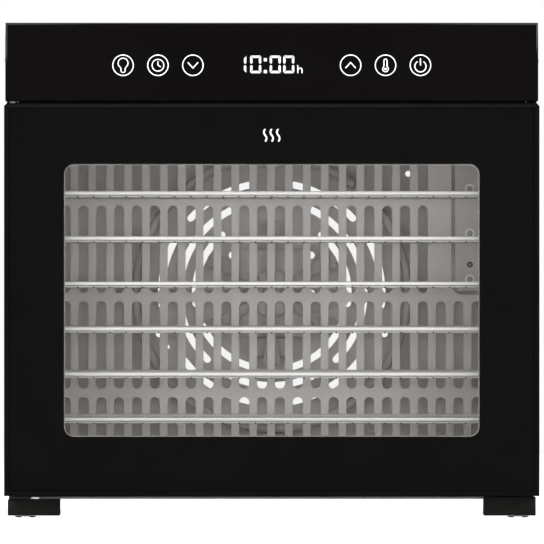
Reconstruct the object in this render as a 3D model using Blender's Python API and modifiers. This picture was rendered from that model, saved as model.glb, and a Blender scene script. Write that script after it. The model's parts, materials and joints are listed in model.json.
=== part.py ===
"""A front-loading food dehydrator with six wire trays, as separate named pieces.

Metres, +Z up. The door faces -Y. The origin is on the floor, at the centre of the footprint.
"""

import math

import bmesh
import bpy
from mathutils import Vector

# ---- driving sizes -------------------------------------------------------------------
DEPTH = 0.450
DOOR_WIDTH = 0.345
HEIGHT = 0.319

GAP = 0.0003  # left between pieces that touch
SHEET = 0.0012  # sheet steel

FRONT = -DEPTH / 2
BACK = DEPTH / 2
DOOR_X = DOOR_WIDTH / 2
DOOR_BOTTOM = 0.0140
DOOR_TOP = 0.2672
DOOR_THICK = 0.022
DOOR_BACK = FRONT + DOOR_THICK
DOOR_WALL = 0.003
DOOR_CHAMFER = 0.0026
DOOR_CORNER = 0.0018
GLASS_THICK = 0.003
GLASS_BORDER = 0.0028

WINDOW_X = 0.1338
WINDOW_LOW = 0.0523
WINDOW_HIGH = 0.2283
WINDOW_CORNER = 0.007

BODY_X = 0.171
BODY_FRONT = -0.200
FRAME_THICK = 0.003
SKIN_FRONT = BODY_FRONT + FRAME_THICK + GAP
REAR_PANEL_Y = 0.2214
BASE_LOW = 0.0119
BASE_HIGH = 0.0135

HEAD_X = 0.1717
HEAD_BOTTOM = 0.2684
HEAD_FRONT = -0.2235
FASCIA_THICK = 0.003
HEAD_WALL = 0.002

CAVITY_X = 0.157
CAVITY_FLOOR = 0.025
CAVITY_CEILING = 0.257

BAFFLE_Y = 0.150
SLOT_SHIFT = 0.0005  # the slot rows' offset to the left
FAN_Y = 0.167
FAN_Z = 0.1443

TRAY_COUNT = 6
TRAY_TOP_Z = 0.2095
TRAY_PITCH = 0.02927
TRAY_ROD = 0.0012  # radius
TRAY_X = 0.152
TRAY_FRONT = -0.186
TRAY_BACK = 0.128
TRAY_CORNER = 0.014
WIRE = 0.0014
WIRE_PITCH = 0.0207
LEDGE_X = 0.1495
LEDGE_THICK = 0.0012

HINGE_X = -0.1670
HINGE_Y = -0.208
PIN_RADIUS = 0.002
BORE_RADIUS = 0.0023

FOOT_INNER_X = 0.1368
REAR_FOOT_INNER_X = 0.1425
FOOT_OUTER_X = 0.1704
FOOT_LENGTH = 0.045
FOOT_LOW = 0.0012
PAD_X = 0.159
PAD_RADIUS = 0.0068

INLET_X = 0.118
INLET_Z = 0.288


def tray_z(index):
    """Height of the rim rod of tray 0 (the top one) to 5."""
    return TRAY_TOP_Z - index * TRAY_PITCH


# ---- modelling helpers ---------------------------------------------------------------
def material(name, colour, roughness, metallic=0.0):
    made = bpy.data.materials.new(name)
    made.use_nodes = True
    shader = made.node_tree.nodes["Principled BSDF"]
    shader.inputs["Base Color"].default_value = (*colour, 1.0)
    shader.inputs["Roughness"].default_value = roughness
    shader.inputs["Metallic"].default_value = metallic
    return made


def new_collection(name):
    made = bpy.data.collections.new(name)
    bpy.context.scene.collection.children.link(made)
    return made


def move_to(obj, collection):
    for old in list(obj.users_collection):
        old.objects.unlink(obj)
    collection.objects.link(obj)


def finish(obj, name, surface, smooth=True):
    """Names a piece, gives it its material and puts it with the others."""
    obj.name = name
    obj.data.name = name
    obj.data.materials.clear()
    obj.data.materials.append(surface)
    move_to(obj, PARTS)
    if smooth and obj.type == "MESH":
        obj.data.shade_smooth()
        obj.data.set_sharp_from_angle(angle=math.radians(30))
    return obj


def raw_box(low, high):
    low, high = Vector(low), Vector(high)
    bpy.ops.mesh.primitive_cube_add(size=1, location=(low + high) / 2)
    obj = bpy.context.object
    obj.scale = high - low
    bpy.ops.object.transform_apply(location=False, rotation=False, scale=True)
    return obj


def box(name, low, high, surface, bevel=0.0):
    obj = finish(raw_box(low, high), name, surface, smooth=False)
    if bevel:
        edges = obj.modifiers.new("edges", "BEVEL")
        edges.width = bevel
        edges.segments = 1
    return obj


AXIS_TURN = {"X": (0, math.pi / 2, 0), "Y": (math.pi / 2, 0, 0), "Z": (0, 0, 0)}


def raw_cylinder(centre, radius, length, axis="Z", sides=20):
    bpy.ops.mesh.primitive_cylinder_add(
        vertices=sides, radius=radius, depth=length, location=centre, rotation=AXIS_TURN[axis]
    )
    return bpy.context.object


def cylinder(name, centre, radius, length, surface, axis="Z", sides=20):
    return finish(raw_cylinder(centre, radius, length, axis, sides), name, surface)


def as_helper(obj):
    """A cutter, or a shape that is joined into a piece: it isn't a piece itself."""
    move_to(obj, HELPERS)
    obj.hide_render = True
    obj.display_type = "WIRE"
    return obj


def boolean(piece, other, operation):
    step = piece.modifiers.new(operation.lower(), "BOOLEAN")
    step.operation = operation
    step.object = as_helper(other)
    return piece


def cut(piece, *cutters):
    for cutter in cutters:
        boolean(piece, cutter, "DIFFERENCE")
    return piece


def join(piece, *others):
    for other in others:
        boolean(piece, other, "UNION")
    return piece


def apart(*objects):
    """Shapes that don't touch each other, made one helper so that one Boolean takes them all."""
    bpy.ops.object.select_all(action="DESELECT")
    for obj in objects:
        obj.select_set(True)
    bpy.context.view_layer.objects.active = objects[0]
    bpy.ops.object.join()
    bpy.ops.object.transform_apply(location=True, rotation=True, scale=True)
    return bpy.context.object


def mesh_of(obj):
    """The object's evaluated shape as a new mesh object in the same place, in its stead."""
    bpy.context.view_layer.update()
    graph = bpy.context.evaluated_depsgraph_get()
    mesh = bpy.data.meshes.new_from_object(obj.evaluated_get(graph))
    edit = bmesh.new()
    edit.from_mesh(mesh)
    bmesh.ops.remove_doubles(edit, verts=edit.verts, dist=0.000001)
    edit.to_mesh(mesh)
    edit.free()
    made = bpy.data.objects.new(obj.name + "_mesh", mesh)
    made.matrix_world = obj.matrix_world
    bpy.context.scene.collection.objects.link(made)
    bpy.data.objects.remove(obj)
    return made


def outline_plate(outlines, thickness, y):
    """An upright sheet whose front face is at y.

    Outlines are in X and Z: the first is the sheet's edge, and the rest are holes in it.
    """
    curve = bpy.data.curves.new("outline", "CURVE")
    curve.dimensions = "2D"
    curve.fill_mode = "BOTH"
    curve.extrude = thickness / 2
    for points in outlines:
        spline = curve.splines.new("POLY")
        spline.points.add(len(points) - 1)
        spline.use_cyclic_u = True
        for point, (x, z) in zip(spline.points, points):
            point.co = (x, z, 0, 1)
    obj = bpy.data.objects.new("outline", curve)
    obj.location = (0, y + thickness / 2, 0)
    obj.rotation_euler = (math.pi / 2, 0, 0)
    bpy.context.scene.collection.objects.link(obj)
    return obj


def tube(points, radius, cyclic=False, resolution=2):
    """A round rod or tube along points."""
    curve = bpy.data.curves.new("tube", "CURVE")
    curve.dimensions = "3D"
    curve.bevel_depth = radius
    curve.bevel_resolution = resolution
    curve.use_fill_caps = not cyclic
    spline = curve.splines.new("POLY")
    spline.points.add(len(points) - 1)
    spline.use_cyclic_u = cyclic
    for point, place in zip(spline.points, points):
        point.co = (*place, 1)
    obj = bpy.data.objects.new("tube", curve)
    bpy.context.scene.collection.objects.link(obj)
    return obj


def arc(centre, radius, start, end, steps):
    """Points on a circle arc, in degrees, both ends included."""
    angles = [math.radians(start + (end - start) * i / steps) for i in range(steps + 1)]
    return [(centre[0] + radius * math.cos(a), centre[1] + radius * math.sin(a)) for a in angles]


def rectangle(low, high):
    return [(low[0], low[1]), (high[0], low[1]), (high[0], high[1]), (low[0], high[1])]


def rounded_rectangle(low, high, radius, steps=3):
    corners = (
        ((high[0] - radius, high[1] - radius), 0),
        ((low[0] + radius, high[1] - radius), 90),
        ((low[0] + radius, low[1] + radius), 180),
        ((high[0] - radius, low[1] + radius), 270),
    )
    points = []
    for centre, start in corners:
        points += arc(centre, radius, start, start + 90, steps)
    return points


def upright_slot(x, low, high, width):
    """A vertical slot with chamfered ends."""
    half, tip = width / 2, width * 0.35
    return [(x - half, low + tip), (x, low), (x + half, low + tip),
            (x + half, high - tip), (x, high), (x - half, high - tip)]


def arc_slot(centre, radius, width, start, end):
    steps = max(2, round((end - start) / 14))
    outer = arc(centre, radius + width / 2, start, end, steps)
    inner = arc(centre, radius - width / 2, start, end, steps)
    return outer + inner[::-1]


def round_hole(centre, radius, sides=10):
    return arc(centre, radius, 0, 360 - 360 / sides, sides - 1)


# ---- housing -------------------------------------------------------------------------
def make_housing():
    for side, name in ((-1, "side_panel_left"), (1, "side_panel_right")):
        xs = sorted((side * BODY_X, side * (BODY_X - SHEET)))
        box(name, (xs[0], SKIN_FRONT, DOOR_BOTTOM), (xs[1], BACK, HEIGHT - 0.002), BLACK_PAINT)
    top = HEIGHT - 0.0005
    box("top_panel", (-BODY_X, SKIN_FRONT, top - SHEET), (BODY_X, BACK, top), BLACK_PAINT)

    base_x = BODY_X - 0.0014
    base_front = BODY_FRONT + 0.0005
    base = box("base_plate", (-base_x, base_front, BASE_LOW), (base_x, BACK, BASE_HIGH), BARE_STEEL)
    cut(base, raw_box((-0.18, -0.21, 0), (-0.150 + GAP, -0.170 + GAP, 0.02)))

    frame = outline_plate(
        [rectangle((-BODY_X, DOOR_BOTTOM), (BODY_X, HEAD_BOTTOM - 0.0004)),
         rectangle((-CAVITY_X, CAVITY_FLOOR - 0.0005), (CAVITY_X, CAVITY_CEILING + 0.0005))],
        FRAME_THICK, BODY_FRONT)
    finish(frame, "front_frame", BLACK_PLASTIC)
    make_rear_panel()


def mirrored(angles):
    return [(180 - end, 180 - start) for start, end in angles]


def make_rear_panel():
    """The sheet that closes the back, with three rings of arc-shaped air slots round the fan's axis."""
    centre = (0, FAN_Z)
    slot_width = 0.0045
    rings = (
        (0.0511, [(-77, -23), (-10.5, 52)], []),
        (0.0617, [(12, 68)], [(242, 298), (-48, 3), (192, 228)]),
        (0.0737, [(-80, -36), (-8, 30), (41, 80)], []),
    )
    holes = []
    for radius, right_side, middle in rings:
        for start, end in right_side + mirrored(right_side) + middle:
            holes.append(arc_slot(centre, radius, slot_width, start, end))
    screw_holes = (
        (0.0364, 44, 0.0025), (0.0364, 136, 0.0025), (0.0266, 0, 0.0021), (0.0266, 180, 0.0021),
        (0.0801, 200, 0.0021), (0.0801, 340, 0.0021), (0.0783, 207.3, 0.0014),
    )
    for radius, angle, hole_radius in screw_holes:
        x, z = arc(centre, radius, angle, angle, 1)[0]
        holes.append(round_hole((x, z), hole_radius, 8))
    holes.append(round_hole((0.0911, FAN_Z + 0.0797), 0.0019, 8))
    holes.append(rectangle((INLET_X - 0.0141, INLET_Z - 0.0103), (INLET_X + 0.0141, INLET_Z + 0.0103)))
    edge = rectangle((-BODY_X + SHEET + GAP, BASE_HIGH + GAP), (BODY_X - SHEET - GAP, HEIGHT - 0.002 - GAP))
    finish(outline_plate([edge] + holes, SHEET, REAR_PANEL_Y), "rear_panel", BARE_STEEL)


def make_feet():
    """Four plastic blocks on round rubber pads. The front right one has a lip over the base's edge."""
    for side, side_name in ((-1, "left"), (1, "right")):
        ends = (("front", BODY_FRONT - 0.003, FOOT_INNER_X), ("rear", 0.165, REAR_FOOT_INNER_X))
        for end_name, front, inner in ends:
            xs = sorted((side * inner, side * FOOT_OUTER_X))
            name = f"foot_{end_name}_{side_name}"
            top = BASE_LOW - GAP
            foot = box(name, (xs[0], front, FOOT_LOW), (xs[1], front + FOOT_LENGTH, top), BLACK_PLASTIC)
            if name == "foot_front_right":
                join(foot, raw_box((xs[0], front, FOOT_LOW + 0.004), (xs[1], front + 0.003, BASE_HIGH)))
            thick = FOOT_LOW - GAP
            pad = raw_cylinder((side * PAD_X, front + 0.012, thick / 2), PAD_RADIUS, thick)
            finish(pad, f"foot_pad_{end_name}_{side_name}", RUBBER)


# ---- drying chamber ------------------------------------------------------------------
def make_liner():
    back = REAR_PANEL_Y - GAP
    outer = CAVITY_X + SHEET
    top, bottom = CAVITY_CEILING + SHEET, CAVITY_FLOOR - SHEET
    box("liner_ceiling", (-outer, SKIN_FRONT, CAVITY_CEILING), (outer, back, top), STAINLESS)
    box("liner_floor", (-outer, SKIN_FRONT, bottom), (outer, back, CAVITY_FLOOR), STAINLESS)
    for side, name in ((-1, "liner_left"), (1, "liner_right")):
        xs = sorted((side * CAVITY_X, side * outer))
        low = (xs[0], SKIN_FRONT, CAVITY_FLOOR + GAP)
        high = (xs[1], back, CAVITY_CEILING - GAP)
        wall = box(name, low, high, STAINLESS)
        ledges = []
        for index in range(TRAY_COUNT):
            top = tray_z(index) - TRAY_ROD - GAP
            xs = sorted((side * LEDGE_X, side * (CAVITY_X + SHEET / 2)))
            ledges.append(raw_box((xs[0], TRAY_FRONT + 0.002, top - LEDGE_THICK), (xs[1], TRAY_BACK, top)))
        join(wall, apart(*ledges))


def make_baffle():
    """The slotted sheet between the trays and the fan. Its upper right corner is plain, for the lamps."""
    columns, pitch, width = 24, 0.01187, 0.0066
    row_pitch, slot_height = 0.0636, 0.0580
    middle = 0.1417
    plain_from = 0.108
    outlines = [rectangle((-CAVITY_X + GAP, CAVITY_FLOOR + GAP), (CAVITY_X - GAP, CAVITY_CEILING - GAP))]
    for row in range(4):
        centre = middle + (1.5 - row) * row_pitch
        low = max(centre - slot_height / 2, CAVITY_FLOOR + 0.005)
        high = min(centre + slot_height / 2, CAVITY_CEILING - 0.005)
        for column in range(columns):
            x = (column - (columns - 1) / 2) * pitch - SLOT_SHIFT
            if x > plain_from and row < 2:
                continue
            outlines.append(upright_slot(x, low, high, width))
    finish(outline_plate(outlines, SHEET, BAFFLE_Y), "baffle_plate", STAINLESS)


def make_lamp():
    """The pan in the chamber's upper right corner: three lamp lenses and the temperature probe's hole."""
    low_x, low_z = 0.1217, 0.1451
    high_x, high_z = CAVITY_X - 2 * GAP, CAVITY_CEILING - 2 * GAP
    front, wall = 0.1405, 0.001
    lens_x, lens_radius = 0.1315, 0.0032
    lens_heights = (("upper", 0.2136), ("middle", 0.1840), ("lower", 0.1536))
    probe_z = 0.1634

    cover = box("lamp_cover", (low_x, front, low_z), (high_x, BAFFLE_Y - GAP, high_z), STAINLESS)
    inside_low = (low_x + wall, front + wall, low_z + wall)
    cut(cover, raw_box(inside_low, (high_x - wall, BAFFLE_Y + 0.01, high_z - wall)))
    holes = [raw_cylinder((lens_x, front, z), lens_radius + GAP, 0.01, "Y", 12) for _, z in lens_heights]
    holes.append(raw_cylinder((lens_x, front, probe_z), 0.0017, 0.01, "Y", 8))
    cut(cover, apart(*holes))

    board_y = 0.1468
    low, high = (lens_x - 0.006, board_y, 0.150), (lens_x + 0.006, board_y + SHEET, 0.218)
    box("lamp_board", low, high, BOARD_GREEN)
    for name, z in lens_heights:
        length = board_y - GAP - (front - 0.0012)
        centre = (lens_x, board_y - GAP - length / 2, z)
        cylinder(f"lamp_lens_{name}", centre, lens_radius, length, LENS, "Y", 12)
    probe_length = 0.0046
    probe_centre = (lens_x, board_y - GAP - probe_length / 2, probe_z)
    cylinder("temperature_probe", probe_centre, 0.0013, probe_length, BARE_STEEL, "Y", 8)


def tray_mesh():
    """One wire tray, its rim rod's centre at z 0."""
    loop = rounded_rectangle((-TRAY_X, TRAY_FRONT), (TRAY_X, TRAY_BACK), TRAY_CORNER)
    rim = mesh_of(tube([(x, y, 0) for x, y in loop], TRAY_ROD, cyclic=True))
    wire_z, half = -0.0018, WIRE / 2
    count = int((2 * TRAY_X - 0.012) / WIRE_PITCH / 2) * 2 + 1
    wires = []
    for i in range(count):
        x = (i - (count - 1) / 2) * WIRE_PITCH
        wires.append(raw_box((x - half, TRAY_FRONT, wire_z - half), (x + half, TRAY_BACK, wire_z + half)))
    join(rim, apart(*wires))
    cross_z = wire_z - 0.0011
    reach = (count - 1) / 2 * WIRE_PITCH + 0.002
    middle_y = (TRAY_FRONT + TRAY_BACK) / 2
    join(rim, raw_box((-reach, middle_y - half, cross_z - half), (reach, middle_y + half, cross_z + half)))
    made = mesh_of(rim)
    mesh = made.data
    bpy.data.objects.remove(made)
    return mesh


def make_trays():
    shared = tray_mesh()
    for index in range(TRAY_COUNT):
        tray = bpy.data.objects.new(f"tray_{index + 1}", shared)
        bpy.context.scene.collection.objects.link(tray)
        tray.location = (0, 0, tray_z(index))
        move_to(tray, PARTS)
    shared.materials.append(CHROME)


# ---- door ----------------------------------------------------------------------------
def bevel_door(mesh):
    """Cuts off the two upper corners, then chamfers the whole rim of the front face."""
    edit = bmesh.new()
    edit.from_mesh(mesh)
    high_z = max(v.co.z for v in edit.verts)
    front_y = min(v.co.y for v in edit.verts)

    def lies_on(edge, axis, value):
        return all(abs(v.co[axis] - value) < 1e-6 for v in edge.verts)

    upper = [e for e in edit.edges if lies_on(e, 2, high_z)]
    corners = [e for e in upper if abs(e.verts[0].co.y - e.verts[1].co.y) > 0.001]
    bmesh.ops.bevel(edit, geom=corners, offset=DOOR_CORNER, segments=1, affect="EDGES")
    rim = [e for e in edit.edges if lies_on(e, 1, front_y)]
    bmesh.ops.bevel(edit, geom=rim, offset=DOOR_CHAMFER, segments=1, affect="EDGES")
    edit.to_mesh(mesh)
    edit.free()


def make_door():
    window_low, window_high = (-WINDOW_X, WINDOW_LOW), (WINDOW_X, WINDOW_HIGH)
    wall_back = FRONT + GLASS_THICK + GAP + DOOR_WALL
    frame = raw_box((-DOOR_X, FRONT, DOOR_BOTTOM), (DOOR_X, DOOR_BACK, DOOR_TOP))
    finish(frame, "door_frame", BLACK_PLASTIC, smooth=False)
    bevel_door(frame.data)
    border = GLASS_BORDER
    glass_back = FRONT + GLASS_THICK
    wall_x, wall_low, wall_high = DOOR_X - DOOR_WALL, DOOR_BOTTOM + DOOR_WALL, DOOR_TOP - DOOR_WALL
    glass_x, glass_low, glass_high = DOOR_X - border, DOOR_BOTTOM + border, DOOR_TOP - border
    cut(
        frame,
        raw_box((-glass_x, FRONT - 0.01, glass_low), (glass_x, glass_back + GAP, glass_high)),
        raw_box((-wall_x, wall_back, wall_low), (wall_x, 0, wall_high)),
        mesh_of(outline_plate([rounded_rectangle(window_low, window_high, WINDOW_CORNER)], 0.03, FRONT)),
        raw_cylinder((HINGE_X, HINGE_Y, (DOOR_BOTTOM + DOOR_TOP) / 2), BORE_RADIUS, 0.3, "Z", 12),
    )

    pane_low = (-glass_x + GAP, FRONT, glass_low + GAP)
    box("door_glass", pane_low, (glass_x - GAP, glass_back, glass_high - GAP), GLASS)

    plate_low, plate_high = (-0.1645, 0.0175), (0.1645, 0.2640)
    window = rounded_rectangle(window_low, window_high, WINDOW_CORNER)
    wall = 0.002
    well_x, well_low, well_high = WINDOW_X + wall, WINDOW_LOW - wall, WINDOW_HIGH + wall
    well_edge = rounded_rectangle((-well_x, well_low), (well_x, well_high), WINDOW_CORNER + wall)
    plate_front, plate_back = DOOR_BACK - 0.0032, DOOR_BACK - 0.0002
    plate_edge = rectangle(plate_low, plate_high)
    retainer = mesh_of(outline_plate([plate_edge, window], plate_back - plate_front, plate_front))
    well_front = wall_back + GAP
    well = mesh_of(outline_plate([well_edge, window], plate_front + 0.001 - well_front, well_front))
    join(retainer, well)
    finish(retainer, "door_retainer", BLACK_PLASTIC)

    gasket = outline_plate(
        [rectangle((-0.1625, 0.0185), (0.1625, 0.2635)), rectangle((-0.1585, 0.0225), (0.1585, 0.2595))],
        BODY_FRONT - GAP - (plate_back + GAP), plate_back + GAP)
    finish(gasket, "door_gasket", SILICONE)

    box("door_magnet", (0.1650, -0.2130, 0.1285), (0.1690, DOOR_BACK - 0.0005, 0.1535), BARE_STEEL)
    box("magnet_strike", (0.1640, BODY_FRONT - 0.0012, 0.1260), (0.1700, BODY_FRONT - GAP, 0.1560), CHROME)
    make_hinges()


def make_hinges():
    """Two upright pins at the door's left edge: one hangs from the control head, one stands on the base."""
    top = DOOR_BOTTOM - GAP
    low = box("lower_hinge_bracket", (-0.1695, -0.216, BASE_LOW), (-0.1562, -0.170, top), BLACK_PAINT)
    cut(low, raw_cylinder((HINGE_X, HINGE_Y, BASE_LOW), BORE_RADIUS, 0.02, "Z", 12))
    high_z = HEAD_BOTTOM + HEAD_WALL + GAP
    high_end = (-0.140, -0.199, high_z + 0.002)
    high = box("upper_hinge_bracket", (-0.1690, -0.216, high_z), high_end, BARE_STEEL)
    cut(high, raw_cylinder((HINGE_X, HINGE_Y, high_z), BORE_RADIUS, 0.02, "Z", 12))
    for name, bottom, top in (
        ("lower_hinge_pin", BASE_LOW + GAP, 0.0235),
        ("upper_hinge_pin", 0.2585, high_z + 0.004),
    ):
        cylinder(name, (HINGE_X, HINGE_Y, (bottom + top) / 2), PIN_RADIUS, top - bottom, CHROME, "Z", 12)


# ---- control head --------------------------------------------------------------------
def make_control_head():
    front = HEAD_FRONT + FASCIA_THICK + GAP
    fascia_back = HEAD_FRONT + FASCIA_THICK
    low, high = (-HEAD_X, HEAD_FRONT, HEAD_BOTTOM), (HEAD_X, fascia_back, HEIGHT)
    box("control_fascia", low, high, GLOSS_BLACK, bevel=0.0008)
    inside_x = HEAD_X - HEAD_WALL
    housing = outline_plate(
        [rectangle((-HEAD_X, HEAD_BOTTOM), (HEAD_X, HEIGHT)),
         rectangle((-inside_x, HEAD_BOTTOM + HEAD_WALL), (inside_x, HEIGHT - HEAD_WALL))],
        SKIN_FRONT - GAP - front, front)
    housing = finish(mesh_of(housing), "control_housing", BLACK_PLASTIC)
    cut(housing, raw_cylinder((HINGE_X, HINGE_Y, HEAD_BOTTOM), BORE_RADIUS, 0.01, "Z", 12))

    film = outline_plate(
        [rectangle((-0.108, 0.283), (0.108, 0.300)), rectangle((-0.0245, 0.2845), (0.0245, 0.2985))],
        0.0012, front + GAP)
    finish(film, "touch_sensor_film", BOARD_GREEN)
    box("display_module", (-0.024, front + GAP, 0.285), (0.024, -0.2125, 0.298), GLOSS_BLACK)
    box("control_board", (-0.115, -0.2122, 0.275), (0.115, -0.2106, 0.311), BOARD_GREEN)


# ---- fan, heater and mains -----------------------------------------------------------
def make_motor():
    """A shaded-pole motor: a laminated stator with its coil below, its rotor, and a pan that holds it."""
    reach, plate = 0.020, 0.0015
    pan_front, pan_back = 0.2063, REAR_PANEL_Y - GAP
    low, high = (-reach, pan_front, FAN_Z - reach), (reach, pan_back, FAN_Z + reach)
    pan = box("motor_bracket", low, high, BARE_STEEL)
    inside = reach - plate
    cut(
        pan,
        raw_box((-inside, pan_front + plate, FAN_Z - inside), (inside, BACK, FAN_Z + inside)),
        raw_cylinder((0, pan_front, FAN_Z), 0.008, 0.02, "Y", 12),
    )
    stator = box("motor_stator", (-0.021, 0.190, FAN_Z - 0.029), (0.021, 0.206, FAN_Z + 0.029), BARE_STEEL)
    cut(stator, raw_cylinder((0, 0.198, FAN_Z), 0.0125, 0.03, "Y", 20))
    box("motor_coil", (-0.014, 0.184, FAN_Z - 0.043), (0.014, 0.212, FAN_Z - 0.029 - GAP), WINDING)

    shaft_front, shaft_back, shaft_radius = 0.156, 0.215, 0.003
    rotor_front, rotor_back, rotor_radius = 0.1905, 0.2055, 0.0121
    profile = [
        (0, shaft_back), (shaft_radius, shaft_back),
        (shaft_radius, rotor_back), (rotor_radius, rotor_back),
        (rotor_radius, rotor_front), (shaft_radius, rotor_front),
        (shaft_radius, shaft_front), (0, shaft_front),
    ]
    mesh = bpy.data.meshes.new("rotor")
    mesh.from_pydata([(r, 0, y) for r, y in profile], [(i, i + 1) for i in range(len(profile) - 1)], [])
    rotor = bpy.data.objects.new("rotor", mesh)
    bpy.context.scene.collection.objects.link(rotor)
    turn = rotor.modifiers.new("turn", "SCREW")
    turn.steps = turn.render_steps = 20
    turn.use_merge_vertices = True
    turn.merge_threshold = 0.00005
    rotor.rotation_euler = (-math.pi / 2, 0, 0)
    rotor.location = (0, 0, FAN_Z)
    finish(rotor, "motor_rotor", BARE_STEEL, smooth=False)


def blade_outline():
    """A petal: narrow as far as its middle, then wider, with a blunt round tip."""
    right = [(0.010, 0.0028), (0.029, 0.0029), (0.0400, 0.0048), (0.0455, 0.0062), (0.0478, 0.0050)]
    return right + [(0.0489, 0.0)] + [(x, -y) for x, y in reversed(right)]


def make_fan():
    hub_radius, hub_front, hub_back = 0.0151, FAN_Y - 0.004, FAN_Y + 0.004
    hub = raw_cylinder((0, (hub_front + hub_back) / 2, FAN_Z), hub_radius, hub_back - hub_front, "Y", 24)
    fan = finish(hub, "fan_impeller", ALUMINIUM)
    blades = []
    for i in range(6):
        turn = math.radians(90 + 60 * i)
        curve_obj = outline_plate([blade_outline()], 0.0012, -0.0006)
        blade = mesh_of(curve_obj)
        edit = bmesh.new()
        edit.from_mesh(blade.data)
        bmesh.ops.transform(edit, matrix=blade.matrix_world, verts=edit.verts)
        for v in edit.verts:  # pitched about its own length, then swung to its place
            y = v.co.y + 0.35 * v.co.z
            x, z = v.co.x, v.co.z
            v.co = (x * math.cos(turn) - z * math.sin(turn), y + (hub_front + hub_back) / 2,
                    x * math.sin(turn) + z * math.cos(turn) + FAN_Z)
        edit.to_mesh(blade.data)
        edit.free()
        blade.matrix_world.identity()
        blades.append(blade)
    join(fan, apart(*blades))
    cut(fan, raw_cylinder((0, FAN_Y, FAN_Z), 0.0033, 0.03, "Y", 12))

    nut = raw_cylinder((0, 0.1603, FAN_Z), 0.0065, 0.0042, "Y", 6)
    finish(nut, "fan_nut", CHROME, smooth=False)
    cut(nut, raw_cylinder((0, 0.160, FAN_Z), 0.0033, 0.03, "Y", 12))


def make_heater():
    """A tubular ring element round the fan. Its two ends turn back towards the rear panel."""
    ring_y, ring_radius, tube_radius = 0.172, 0.0905, 0.00325
    start, end = 52, 398
    steps = 26
    ring = arc((0, FAN_Z), ring_radius, start, end, steps)
    bend = [(ring[0][0], ring_y + 0.006, ring[0][1]), (ring[0][0], 0.2208, ring[0][1])]
    other = [(ring[-1][0], ring_y + 0.006, ring[-1][1]), (ring[-1][0], 0.2208, ring[-1][1])]
    points = bend[::-1] + [(x, ring_y, z) for x, z in ring[1:-1]] + other
    finish(mesh_of(tube(points, tube_radius)), "heater_element", DARK_STEEL)
    low = FAN_Z + ring_radius
    back = REAR_PANEL_Y - GAP
    bracket = box("heater_bracket", (-0.004, 0.163, low - 0.007), (0.004, back, low + 0.007), BARE_STEEL)
    cut(bracket, raw_cylinder((0, ring_y, low), tube_radius + 0.0008, 0.03, "X", 12))


def make_electrics():
    ceiling = CAVITY_CEILING + SHEET + GAP
    cutout = cylinder("thermal_cutout", (-0.06, 0.10, ceiling + 0.005), 0.008, 0.010, BARE_STEEL, "Z", 14)
    join(cutout, raw_box((-0.075, 0.096, ceiling), (-0.045, 0.104, ceiling + 0.0012)))

    board_z = ceiling + 0.006
    board = box("power_board", (-0.020, 0.060, board_z), (0.100, 0.150, board_z + 0.0016), BOARD_GREEN)
    join(
        board,
        raw_box((0.050, 0.075, board_z + 0.001), (0.085, 0.105, board_z + 0.030)),
        raw_box((0.000, 0.080, board_z + 0.001), (0.016, 0.100, board_z + 0.017)),
        raw_box((0.000, 0.115, board_z + 0.001), (0.045, 0.140, board_z + 0.022)),
    )

    flange_x, flange_z, back = 0.025, 0.014, REAR_PANEL_Y + SHEET + GAP + 0.002
    inlet = box("mains_inlet", (INLET_X - flange_x, back - 0.002, INLET_Z - flange_z),
                (INLET_X + flange_x, back, INLET_Z + flange_z), BLACK_PLASTIC)
    body_x, body_z, wall = 0.0138, 0.0100, 0.0016
    body_low = Vector((INLET_X - body_x, 0.203, INLET_Z - body_z))
    body_high = Vector((INLET_X + body_x, back - 0.0005, INLET_Z + body_z))
    join(inlet, raw_box(body_low, body_high))
    cut(inlet, raw_box(body_low + Vector((wall, 0.0035, wall)), body_high + Vector((-wall, 0.01, -wall))))
    places = (("live", 0.007, -0.002), ("neutral", -0.007, -0.002), ("earth", 0.0, 0.002))
    slots = []
    for name, x, z in places:
        low = (INLET_X + x - 0.001, 0.196, INLET_Z + z - 0.002)
        high = (INLET_X + x + 0.001, 0.220, INLET_Z + z + 0.002)
        box(f"inlet_pin_{name}", low, high, CHROME)
        grown = Vector((GAP, 0, GAP))
        slots.append(raw_box(Vector(low) - grown, Vector(high) + grown))
    cut(inlet, apart(*slots))


# ---- joint axes ----------------------------------------------------------------------
def hang_on(name, place, *pieces):
    """Parents pieces and their cutters to an empty on the axis they turn about. They stay in place."""
    axis = bpy.data.objects.new(name, None)
    axis.location = place
    axis.empty_display_size = 0.02
    PARTS.objects.link(axis)
    bpy.context.view_layer.update()
    for piece in pieces:
        shapes = [bpy.data.objects[piece]]
        shapes += [modifier.object for modifier in shapes[0].modifiers if modifier.type == "BOOLEAN"]
        for shape in shapes:
            shape.parent = axis
            shape.matrix_parent_inverse = axis.matrix_world.inverted()


def hang_moving_pieces():
    door = ("door_frame", "door_glass", "door_retainer", "door_gasket", "door_magnet")
    hang_on("door_hinge_axis", (HINGE_X, HINGE_Y, (DOOR_BOTTOM + DOOR_TOP) / 2), *door)
    hang_on("fan_axis", (0, FAN_Y, FAN_Z), "motor_rotor", "fan_impeller", "fan_nut")


# ---- the object ----------------------------------------------------------------------
for old in list(bpy.data.objects):
    bpy.data.objects.remove(old, do_unlink=True)
PARTS = new_collection("food_dehydrator")
HELPERS = new_collection("cutters")

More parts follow.
